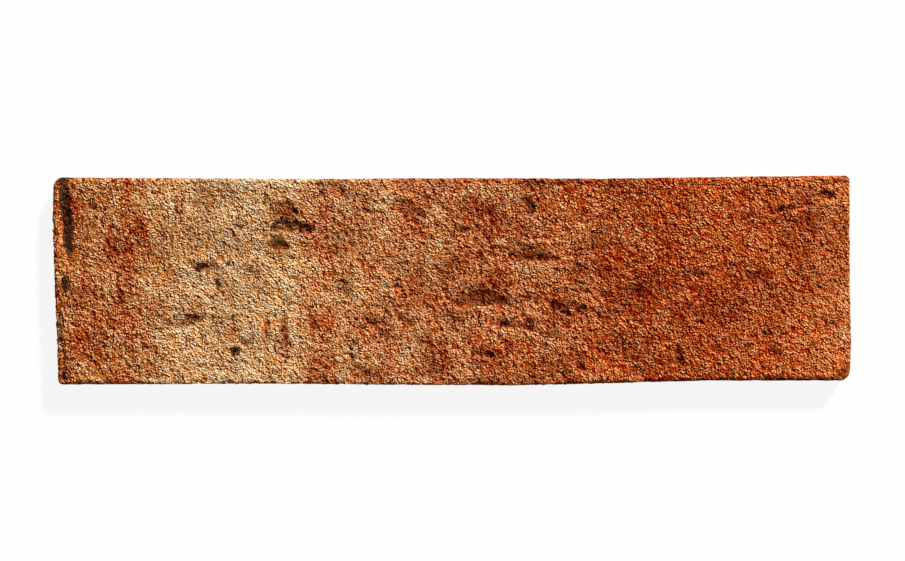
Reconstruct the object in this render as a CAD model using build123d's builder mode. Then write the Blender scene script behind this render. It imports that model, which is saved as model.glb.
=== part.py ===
"""Clinker facade tile: one fired slip with an uneven outline, worn front arrises, folds and creases
in its face and dovetail keying grooves along its back.

Millimetres. The back lies on z = 0 and the face looks up, +X runs along the tile and +Y across it.
The origin is the middle of the back.
"""

import math
import os

from build123d import *

# Overall size
length = 245.0
width = 64.6
thickness = 8.0

# Rounding of the front arris, and of the outline where one of its edges bends
arris_radius = 1.4
bend_radius = 60.0

# Corners of the outline: how far each falls short of the overall rectangle, in X and in Y, and how
# much more than the arris it is rounded
lower_left = (1.7, 0.3, 0.3)
lower_right = (0.5, 1.5, 1.8)
upper_right = (0.5, 0.0, 0.2)
upper_left = (0.4, 0.6, 1.6)

# How far each edge falls short between its corners, at shares of its run. Long edges run from the
# left end to the right end, ends from the lower edge to the upper edge.
lower_edge = [(0.27, 0.6), (0.57, 0.0), (0.82, 1.5)]
right_end = [(0.22, 0.0), (0.55, 0.4)]
upper_edge = [(0.33, 1.1), (0.50, 0.8), (0.70, 0.9)]
left_end = [(0.18, 1.5), (0.78, 0.0)]

# Folds of the face, where one lobe of clay lies against the next: the middle of the lip as shares of
# half the length and half the width, then length, width and depth in millimetres, and turn in degrees.
# Each falls gently to a steep lip, as the print of a cone that lies on its side, foot to the lip.
folds = [
    (0.204, 0.186, 16.0, 4.4, 1.10, 2.0),
    (0.078, -0.217, 20.0, 4.2, 1.10, 0.0),
    (0.188, -0.192, 8.0, 3.2, 0.70, -4.0),
    (0.268, -0.279, 8.5, 3.2, 0.90, -27.0),
    (0.129, -0.433, 7.0, 3.0, 0.70, -20.0),
    (0.193, -0.471, 8.0, 4.0, 1.00, -22.0),
    (0.251, -0.536, 9.0, 3.0, 0.60, -4.0),
    (0.082, -0.724, 13.0, 3.6, 0.70, -8.0),
    (-0.686, -0.291, 14.0, 1.8, 0.50, 0.0),
    (0.829, 0.650, 9.0, 2.6, 0.70, 10.0),
    (0.608, 0.040, 10.0, 2.4, 0.50, -6.0),
    (0.461, -0.136, 11.0, 3.0, 0.60, -2.0),
    (-0.273, -0.121, 8.0, 4.0, 0.70, -20.0),
    (0.935, 0.780, 8.0, 2.4, 0.60, -3.0),
    (-0.424, 0.619, 11.0, 3.6, 0.60, -4.0),
    (-0.400, 0.461, 13.0, 4.0, 0.90, -5.0),
    (-0.428, 0.300, 7.0, 3.4, 0.70, -10.0),
    (-0.108, 0.628, 12.0, 4.0, 0.70, -16.0),
    (-0.122, -0.415, 8.0, 3.0, 0.60, -30.0),
    (0.755, 0.009, 7.0, 2.6, 0.50, 0.0),
    (-0.669, -0.390, 12.0, 2.6, 0.60, 5.0),
    (-0.604, 0.099, 14.0, 3.0, 0.60, -6.0),
    (0.190, 0.690, 6.0, 2.8, 0.60, -49.0),
    (0.024, 0.472, 6.0, 2.0, 0.50, 0.0),
]
fold_overrun = 1.3

# Creases of the face, given in the same way by their middles. Each is the print of an upright ring.
creases = [
    (-0.966, 0.620, 22.0, 3.2, 0.45, 88.0),
    (-0.966, -0.020, 8.0, 2.6, 0.35, 84.0),
    (-0.465, -0.440, 8.0, 3.0, 0.45, 80.0),
    (-0.422, -0.500, 13.0, 3.2, 0.50, 88.0),
    (-0.543, -0.670, 4.5, 3.2, 0.50, 0.0),
    (0.110, 0.600, 10.0, 4.0, 0.50, -45.0),
    (0.322, -0.272, 4.4, 3.8, 0.70, 0.0),
    (0.320, -0.800, 6.0, 2.8, 0.60, -60.0),
    (0.566, -0.710, 10.0, 2.4, 0.50, 100.0),
]

# Bites out of the front arris, given as the creases are
arris_bites = [
    (0.202, 0.95, 6.0, 3.0, 0.60, -8.0),
    (-0.985, 0.92, 6.0, 3.4, 0.70, 62.0),
    (0.98, -0.88, 8.0, 3.8, 0.80, 66.0),
    (-0.62, -0.97, 10.0, 2.6, 0.50, 0.0),
]

# Dovetail keying grooves in the back, narrower at the mouth than at the floor, evenly spaced
# between margins that stay whole along the long edges
key_count = 6
key_margin = 4.7
key_mouth = 4.0
key_depth = 1.5
key_flare = 22.0
key_overrun = 5.0
key_floor = key_mouth + 2 * key_depth * math.tan(math.radians(key_flare))
key_pitch = (width - 2 * key_margin - key_floor) / (key_count - 1)


def corner(sign_x, sign_y, shortfall):
    """The point of one corner, on the sides of X and Y that the signs give."""
    return (sign_x * (length / 2 - shortfall[0]), sign_y * (width / 2 - shortfall[1]))


def long_edge(sign_y, edge):
    """The points of a long edge between its corners, from left to right."""
    return [(length * (share - 0.5), sign_y * (width / 2 - short)) for share, short in edge]


def end(sign_x, edge):
    """The points of an end between its corners, from the lower edge to the upper edge."""
    return [(sign_x * (length / 2 - short), width * (share - 0.5)) for share, short in edge]


def hollow_radius(chord, depth):
    """The radius of an arc that is this deep below its chord."""
    return (chord**2 / 4 + depth**2) / (2 * depth)


os.makedirs("parts", exist_ok=True)

# Outline, anticlockwise from the lower left corner: its points and how each is rounded
outline = []
rounding = []
sides = [
    (corner(-1, -1, lower_left), lower_left, long_edge(-1, lower_edge)),
    (corner(1, -1, lower_right), lower_right, end(1, right_end)),
    (corner(1, 1, upper_right), upper_right, long_edge(1, upper_edge)[::-1]),
    (corner(-1, 1, upper_left), upper_left, end(-1, left_end)[::-1]),
]
for corner_point, shortfall, side in sides:
    outline += [corner_point, *side]
    rounding += [arris_radius + shortfall[2]] + [bend_radius] * len(side)

# Tile: the outline is raised to the face, rounded, folded, creased and then keyed from behind
with BuildPart() as tile:
    with BuildSketch():
        with BuildLine():
            FilletPolyline(*outline, radius=rounding, close=True)
        make_face()
    extrude(amount=thickness)
    fillet(tile.faces().sort_by(Axis.Z)[-1].edges(), arris_radius)
    for share_x, share_y, fold_length, fold_width, fold_depth, turn in folds:
        foot_radius = hollow_radius(fold_length, fold_depth)
        tip_radius = foot_radius - fold_overrun * fold_depth
        height = thickness - fold_depth + foot_radius
        with Locations(Location((share_x * length / 2, share_y * width / 2, height), (0, 0, turn))):
            Cone(
                foot_radius, tip_radius, fold_overrun * fold_width, rotation=(-90, 0, 0),
                align=(Align.CENTER, Align.CENTER, Align.MIN), mode=Mode.SUBTRACT,
            )
    for share_x, share_y, crease_length, crease_width, crease_depth, turn in creases + arris_bites:
        ring_radius = hollow_radius(crease_length, crease_depth)
        tube_radius = hollow_radius(crease_width, crease_depth)
        height = thickness - crease_depth + ring_radius
        with Locations(Location((share_x * length / 2, share_y * width / 2, height), (0, 0, turn))):
            Torus(ring_radius - tube_radius, tube_radius, rotation=(90, 0, 0), mode=Mode.SUBTRACT)
    with BuildSketch(Plane.YZ.offset(-length / 2 - key_overrun)):
        with GridLocations(key_pitch, 0, key_count, 1):
            Trapezoid(key_mouth, key_depth, 90 + key_flare, align=(Align.CENTER, Align.MIN))
    extrude(amount=length + 2 * key_overrun, mode=Mode.SUBTRACT)

tile.part.label = "facade_tile"
export_step(tile.part, "parts/facade_tile.step")
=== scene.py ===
"""Clinker facade tile, lying face up on a pale floor: its rough pressed face, its worn edges and the
sandy, rusty and sooty colours that the kiln left on it.

Shapes are worked out in millimetres, in the tile's own frame: +X along it, +Y across it, z = 0 at its
back. They become metres where the mesh is made.
"""

import math

import bpy
import numpy as np
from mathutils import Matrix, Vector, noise
from mathutils.bvhtree import BVHTree


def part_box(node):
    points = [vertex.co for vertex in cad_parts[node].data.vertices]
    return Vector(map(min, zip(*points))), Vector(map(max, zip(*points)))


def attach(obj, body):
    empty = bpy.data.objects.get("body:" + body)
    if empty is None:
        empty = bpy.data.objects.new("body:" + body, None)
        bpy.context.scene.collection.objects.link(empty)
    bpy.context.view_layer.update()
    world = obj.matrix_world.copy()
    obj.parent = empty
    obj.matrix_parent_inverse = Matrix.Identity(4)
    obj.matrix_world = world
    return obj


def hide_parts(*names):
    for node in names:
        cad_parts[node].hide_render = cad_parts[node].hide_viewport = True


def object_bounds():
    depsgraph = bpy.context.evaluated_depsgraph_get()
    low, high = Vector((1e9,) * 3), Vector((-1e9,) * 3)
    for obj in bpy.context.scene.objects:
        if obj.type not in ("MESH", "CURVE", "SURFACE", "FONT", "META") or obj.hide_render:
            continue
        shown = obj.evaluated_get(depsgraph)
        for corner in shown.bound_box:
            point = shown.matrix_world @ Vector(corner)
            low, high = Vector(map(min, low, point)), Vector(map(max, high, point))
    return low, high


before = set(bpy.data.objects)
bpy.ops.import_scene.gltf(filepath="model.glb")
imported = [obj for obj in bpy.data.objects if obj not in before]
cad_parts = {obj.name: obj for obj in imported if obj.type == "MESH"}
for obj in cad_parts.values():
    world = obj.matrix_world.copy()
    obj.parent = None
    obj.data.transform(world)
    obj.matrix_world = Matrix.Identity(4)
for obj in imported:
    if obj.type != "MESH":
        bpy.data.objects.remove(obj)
cad_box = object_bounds()

NODE = "facade_tile"
SLOT = "fired_clay"
MM = 0.001

# Mesh: distance between points of the face and how far each strays, width of the band that follows the
# outline, columns round a corner, radius of the front arris, rows round the arris and rows down the wall
SPACING = 0.45
SCATTER = 0.14
SCATTER_SEED = 5
BAND = 6.0
CORNER_COLUMNS = 18
ARRIS = 1.4
ARRIS_ROWS = 6
WALL_ROWS = 9

# Points this near each other are one point, and heights this near each other are one height
SAME_PLACE = 0.0001
SAME_HEIGHT = 0.01

# Radius of the front arris where it stayed sharper: along the lower edge, and at the left end. It changes
# over some columns to either side. A column faces an edge when this much of its way points there.
ARRIS_BELOW = [
    (-122.0, 1.0), (-96.0, 1.2), (-93.0, 0.5), (-84.0, 0.5), (-80.0, 0.9), (-62.0, 0.8), (-56.0, 0.4),
    (-8.0, 0.4), (-3.0, 1.3), (24.0, 1.2), (29.0, 0.5), (68.0, 0.6), (75.0, 1.4), (122.0, 1.4),
]
ARRIS_LEFT = 0.3
ARRIS_BLEND = 15
FACING = 0.9

# Keying grooves: how much narrower each is at its mouth, on either side, than at its floor, and how far
# the cut runs past the ends and below the back
MOUTH_INSET = 0.606
END_OVERRUN = 5.0
BACK_OVERRUN = 1.0

# Folds: how far above the face the search for the solid starts, and the share of the arris they run over
SEARCH_START = 1.0
FOLD_RIM = 0.6

# The wall becomes the face between these two depths below it. Marks, and the shade painted in the folds, fade
# out between these two distances from the outline.
FACE_RISE = (1.6, 0.2)
MARK_FADE = (0.0, 1.8)
FOLD_FADE = (0.4, 2.0)

# How far the face lies below the solid's before its relief, and how softly its relief ends at the solid's
RELIEF_SINK = 0.30
RELIEF_SOFTNESS = 0.15

# What is left on the wall of the colour washes, the roughness, the relief and the patches of sand
WALL_WASH = 0.15
WALL_ROUGH = 0.30
WALL_RELIEF = 0.10
WALL_PATCHES = 0.3

# Share of the roughness that smooth spots lose
SMOOTH_LEVELS = 0.75

# Grain runs from the upper left to the lower right, as the clay was dragged
GRAIN_TURN = -45.0

# Layers of noise: share, period, stretch along the turn, turn in degrees and a shift that sets it apart
UNDULATION = [(0.40, 30.0, 1.0, 0.0, 3.0), (0.60, 12.0, 1.5, -6.0, 5.0)]
LUMPS = [(0.50, 5.0, 2.0, -4.0, 7.0)]
SMALL_LUMPS = [(0.28, 2.4, 1.4, -12.0, 9.0)]
CRUMBS = [(0.15, 1.4, 1.2, GRAIN_TURN, 13.0)]
WALL_WAVES = [(0.40, 4.0, 1.0, 0.0, 107.0), (0.25, 1.6, 1.0, 0.0, 109.0)]
MARK_BREAKS = [(1.5, 1.3, 1.0, 0.0, 103.0)]
TORN_RIMS = [(0.45, 2.0, 1.0, 0.0, 53.0), (0.40, 1.0, 1.0, 0.0, 61.0)]
SAND_PATCHES = [(0.50, 9.0, 1.0, 0.0, 71.0), (0.30, 1.6, 1.0, 0.0, 79.0)]
SAND_STREAKS = [(1.0, 2.8, 5.0, 90.0, 73.0)]
UNEVEN = [(0.16, 16.0, 1.2, GRAIN_TURN, 83.0), (0.32, 6.0, 1.4, GRAIN_TURN, 89.0)]
FLECKS = [(1.0, 2.2, 1.6, -8.0, 97.0)]

# Knots among the crumbs: share, middle level, period and shift
KNOTS = (0.18, 0.42, 2.1, 17.0)

# Drifts that make rims ragged: reach, period and shift in layers, and the shift from one way to the other
FOLD_DRIFT = [(0.7, 2.6, 41.0), (0.4, 1.1, 43.0)]
MARK_DRIFT = [(0.7, 2.4, 11.0), (0.4, 1.1, 23.0)]
WASH_DRIFT = [(1.2, 3.2, 31.0)]
OTHER_WAY = 5.3

# Marks: how sharply the shade and light painted on them end, and how they break up: the middle, the most and
# the least left
PAINTED_SHADING_EDGE = 1.6
BREAK_MIDDLE = 0.65
BREAK_MOST = 1.3
BREAK_LEAST = 0.6

# Washes and streaks set in between these distances from their middles, 1 being the rim, and streaks are
# torn less at their rims
WASH_RIM = (1.3, 0.6)
STREAK_RIM = (1.25, 0.75)
STREAK_TORN = 0.6

# How lumpy the face is along the tile
LUMPY_ALONG = [(-122.0, 0.8), (-60.0, 0.8), (0.0, 1.5), (35.0, 1.5), (60.0, 0.75), (122.0, 0.75)]

# Light: the way it comes from, in degrees round from +X and up from the floor, how wide it is, and its
# share of all the light
KEY_TURN = 58.0
KEY_RISE = 33.0
KEY_SOFTNESS = 6.0
KEY_SHARE = 0.87

# Floor: half its width in metres, its own grey, and the share of plain white seen on it
FLOOR_REACH = 4.0
FLOOR_GREY = 0.9
FLOOR_WHITE = 0.90

# Camera: the photograph's frame and the tile in it, in pixels
FRAME_WIDTH = 905
TILE_WIDTH = 800
TILE_MIDDLE = 452.0
LENS = 100.0

# Pits, and knobs where the depth is below zero: middle, half width and depth
PITS = [
    (-109.6, 22.0, 1.0, 0.40), (-104.0, 16.6, 0.9, 0.35), (-114.0, 3.2, 0.8, 0.30), (-108.5, 5.0, 0.8, 0.25),
    (-102.7, 1.8, 0.8, 0.45), (-93.8, 1.7, 0.9, 0.35), (-96.7, 6.2, 0.7, 0.30), (-106.9, -5.4, 0.8, 0.35),
    (-107.0, -9.2, 0.7, 0.30), (-106.5, -11.5, 0.8, 0.35), (-104.3, -13.4, 0.7, 0.25),
    (-115.8, -3.6, 0.8, 0.30), (-114.5, -19.0, 1.2, 0.40), (-111.5, -21.2, 0.7, 0.30),
    (-112.4, -23.4, 0.7, 0.30), (-96.8, -14.0, 0.7, 0.30), (-91.3, 26.3, 0.8, 0.35),
    (-86.6, 18.2, 0.7, 0.40), (-75.0, 21.5, 1.1, 0.40), (-75.8, 16.3, 0.9, 0.40), (-76.2, 19.0, 0.7, 0.30),
    (-78.5, 23.0, 0.7, 0.25), (-72.3, 14.4, 0.8, 0.35), (-70.5, 25.5, 0.9, 0.30), (-88.2, 3.6, 0.9, 0.40),
    (-85.6, 3.2, 0.8, 0.30), (-74.0, -5.5, 1.0, 0.35), (-77.2, -8.0, 0.7, 0.30), (-66.7, -21.8, 1.3, 0.60),
    (-72.8, -20.5, 0.7, 0.30), (-73.7, -23.5, 0.7, 0.35), (-72.0, -23.7, 0.6, 0.30),
    (-69.0, -25.5, 0.8, 0.35), (-86.2, -22.0, 0.8, 0.35), (-81.0, -25.0, 0.8, 0.30),
    (-56.0, 28.5, 1.1, 0.40), (-44.0, 22.0, 0.9, 0.40), (-43.8, 25.0, 0.7, 0.25), (-37.5, 26.5, 0.7, 0.25),
    (-39.7, 15.8, 0.8, 0.35), (-36.5, 16.0, 0.7, 0.30), (-26.5, 18.5, 0.8, 0.30), (-20.8, 28.0, 0.8, 0.35),
    (-1.3, 18.8, 0.8, 0.35), (-3.0, 12.0, 0.7, 0.30), (-44.3, 6.3, 1.0, 0.40), (-46.0, 2.7, 0.9, 0.40),
    (-50.5, 0.5, 0.7, 0.30), (-31.0, -5.0, 0.9, 0.40), (-24.0, 3.5, 0.8, 0.30), (-8.5, -4.0, 0.8, 0.30),
    (-5.5, 1.5, 0.7, 0.25), (-33.0, -11.0, 0.9, 0.40), (-26.0, -9.0, 0.9, 0.35), (-21.3, -16.5, 0.8, 0.35),
    (-28.8, -27.0, 0.8, 0.40), (-45.8, -27.5, 0.7, 0.30), (-11.5, -27.5, 0.9, 0.35),
    (-15.5, -23.5, 0.8, 0.30), (-14.0, -16.5, 0.7, 0.25), (1.5, 27.6, 0.9, 0.35), (3.9, 25.4, 1.0, 0.40),
    (9.8, 22.3, 0.7, 0.35), (12.3, 22.5, 0.7, 0.30), (26.3, 22.0, 0.9, 0.35), (25.0, 30.0, 0.8, 0.50),
    (31.3, 29.2, 0.7, 0.30), (34.3, 26.2, 0.9, 0.50), (43.7, 28.8, 0.7, 0.30), (51.0, 23.0, 0.8, 0.30),
    (38.2, 8.6, 1.3, 0.55), (36.8, 11.3, 0.8, 0.40), (36.5, 15.5, 0.9, 0.35), (29.5, 14.3, 0.8, 0.35),
    (51.5, 13.4, 1.0, 0.45), (54.0, 14.0, 0.7, 0.30), (59.8, 7.3, 0.8, 0.35), (8.6, 4.5, 0.8, 0.35),
    (27.5, 4.0, 0.8, 0.30), (39.2, -1.3, 0.7, 0.30), (6.0, -3.2, 0.8, 0.30), (30.8, -5.0, 0.9, 0.45),
    (39.5, -8.9, 1.6, 0.60), (6.8, -9.8, 0.6, 0.35), (1.5, -12.3, 0.9, 0.35), (23.6, -13.6, 1.7, 0.60),
    (14.0, -17.0, 0.7, 0.35), (8.8, -17.5, 0.7, 0.30), (6.0, -21.5, 1.1, 0.40), (20.5, -22.8, 1.2, 0.50),
    (38.0, -23.0, 0.9, 0.35), (40.3, -23.0, 0.8, 0.40), (10.3, -26.5, 0.7, 0.35), (57.7, -3.5, 1.1, 0.45),
    (56.3, 1.0, 0.8, 0.35), (49.3, -17.0, 0.8, 0.35), (66.3, 24.3, 0.8, 0.35), (72.8, 22.3, 0.7, 0.35),
    (73.4, 19.8, 1.0, 0.55), (72.3, 27.0, 0.7, 0.25), (81.3, 26.7, 0.7, 0.35), (68.2, 14.2, 0.8, 0.35),
    (68.7, 11.5, 0.8, 0.30), (73.3, 13.5, 0.8, 0.40), (65.7, 9.5, 0.8, 0.35), (93.7, 17.7, 0.7, 0.35),
    (96.0, 28.3, 0.8, 0.35), (98.0, 27.0, 1.0, 0.50), (105.0, 17.3, 1.0, 0.45), (110.3, 15.7, 0.9, 0.40),
    (115.8, 18.2, 0.9, 0.40), (95.7, 8.8, 0.7, 0.30), (115.5, 8.7, 0.8, 0.35), (113.8, 6.5, 0.7, 0.35),
    (118.3, 6.7, 0.7, 0.30), (118.7, 26.5, 0.8, 0.40), (84.6, 3.0, 0.8, 0.50), (82.3, 3.8, 0.7, 0.30),
    (93.3, 1.8, 1.0, 0.45), (72.7, -7.8, 1.0, 0.50), (79.0, -6.0, 0.7, 0.30), (82.3, -6.3, 0.8, 0.30),
    (104.0, -8.0, 0.8, 0.40), (105.0, -1.5, 0.8, 0.30), (84.0, -11.7, 0.7, 0.30), (84.5, -14.0, 0.7, 0.30),
    (87.5, -11.0, 0.7, 0.30), (101.2, -16.8, 0.9, 0.45), (72.5, -17.5, 0.8, 0.35), (94.5, -23.0, 0.7, 0.30),
    (115.2, -22.5, 0.8, 0.35), (70.6, -26.4, 1.0, 0.50), (68.5, -27.5, 0.8, 0.35), (116.5, -11.0, 0.7, 0.25),
    (115.0, 11.5, 0.7, 0.30), (105.7, 3.7, 0.7, 0.30), (-112.8, 13.5, 1.3, -0.25),
    (-105.5, 23.0, 1.0, -0.25), (-82.5, 18.0, 1.3, -0.30), (-91.5, 4.0, 1.1, -0.25),
    (-88.8, 6.3, 0.8, -0.25), (-68.8, 2.0, 1.2, -0.30), (-72.5, 8.0, 1.1, -0.25), (-78.0, -3.0, 1.0, -0.25),
    (-75.7, -6.0, 1.0, -0.25), (-112.0, -12.0, 1.3, -0.30), (-111.5, -2.7, 0.9, -0.25),
    (-64.0, -17.0, 1.2, -0.25), (-48.8, 16.4, 0.8, -0.25), (-34.3, 4.0, 1.0, -0.30),
    (-42.0, 1.5, 0.9, -0.25), (-22.4, 12.9, 1.1, -0.35), (-18.5, 12.5, 1.1, -0.35),
    (-28.5, -6.0, 1.3, -0.25), (-22.0, -11.5, 1.1, -0.30), (-1.5, -7.0, 1.1, -0.35),
    (-22.8, -23.5, 1.3, -0.35), (-8.5, -27.0, 1.0, -0.25), (-58.2, -7.8, 1.0, -0.25),
    (-7.8, 26.5, 0.9, -0.25), (7.0, 27.3, 1.3, -0.30), (46.3, 22.0, 0.9, -0.35), (33.5, 9.0, 1.0, -0.35),
    (39.0, 11.3, 1.1, -0.30), (11.0, 6.5, 1.1, -0.35), (36.0, 4.0, 0.9, -0.35), (19.0, -4.0, 0.9, -0.35),
    (50.3, -7.8, 1.0, -0.35), (44.0, -26.3, 2.0, -0.20), (91.0, 22.2, 0.9, -0.25), (93.3, 21.3, 0.8, -0.25),
    (81.5, 18.0, 1.1, -0.25), (75.0, 18.5, 0.9, -0.25), (100.7, 6.5, 0.9, -0.35), (92.5, -8.5, 1.3, -0.35),
    (69.0, -8.3, 0.9, -0.25), (72.3, -13.3, 0.9, -0.25), (92.5, -19.8, 1.2, -0.35),
    (78.0, -14.0, 1.6, -0.15), (87.5, -26.6, 1.4, -0.25), (118.8, -27.7, 0.9, -0.25),
    (89.0, -14.0, 0.8, -0.25), (98.2, -8.5, 0.8, -0.25), (121.4, -8.5, 1.0, -0.25),
]

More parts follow.
